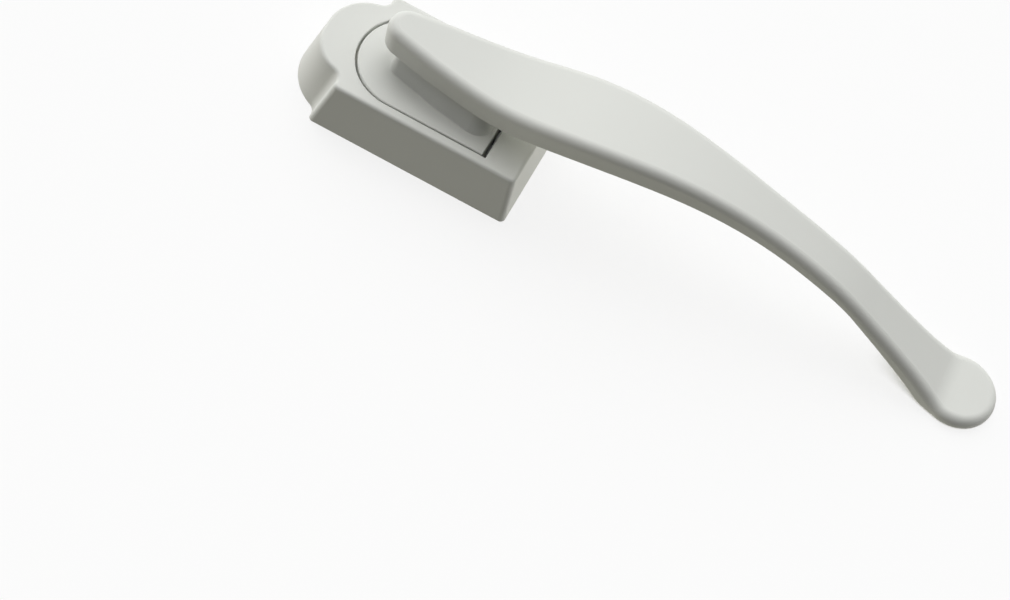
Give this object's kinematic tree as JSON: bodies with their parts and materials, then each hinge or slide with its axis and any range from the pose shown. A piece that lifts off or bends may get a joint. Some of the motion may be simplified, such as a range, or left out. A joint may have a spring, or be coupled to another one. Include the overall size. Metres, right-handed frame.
{
  "type": "door latch lever",
  "caption": "Outside lever handle of a storm-door latch: a hollow painted housing with a rocking pull lever that drives a plunger through the door.",
  "frame": {"origin": "axis of the plunger at the housing's back face, midway between the two fixing posts", "axes": "+Z out of the door, +X along the lever from the housing to its free end, +Y across"},
  "size_m": [0.1669, 0.033, 0.0295],
  "materials": {
    "painted_casting": "smooth satin off-white paint",
    "zinc_plated_steel": "bright zinc plate",
    "spring_steel": "drawn wire",
    "brass": "turned",
    "acetal": "moulded, natural",
    "rubber": "moulded black"
  },
  "bodies": {
    "housing_body": {"housing": "painted_casting", "pivot_pin": "zinc_plated_steel", "pin_keeper_near": "acetal", "pin_keeper_far": "acetal", "plunger_spring": "spring_steel", "plunger_guide": "acetal", "spring_washer": "zinc_plated_steel", "back_plate": "zinc_plated_steel", "back_plate_screws": "zinc_plated_steel", "post_insert_left": "brass", "post_insert_right": "brass", "travel_bumper": "rubber"},
    "lever_body": {"lever": "painted_casting", "pivot_bush_near": "acetal", "pivot_bush_far": "acetal", "drive_button": "acetal", "rest_pad_near": "rubber", "rest_pad_far": "rubber"},
    "plunger_body": {"plunger": "acetal"}
  },
  "joints": [
    {"name": "lever_pull", "type": "hinge", "parent": "housing_body", "child": "lever_body", "pos_m": [0.0122, 0, 0.0088], "axis": [0, -1, 0], "range_deg": [0, 12], "stiffness_Nm_per_rad": 0.9, "springref_deg": -17.19},
    {"name": "plunger_push", "type": "slide", "parent": "housing_body", "child": "plunger_body", "axis": [0, 0, -1], "range_m": [0, 0.0027], "deforming": ["plunger_spring"]}
  ],
  "couplings": [
    {"joint": "plunger_push", "follows": "lever_pull", "m_per_rad": 0.0123}
  ]
}
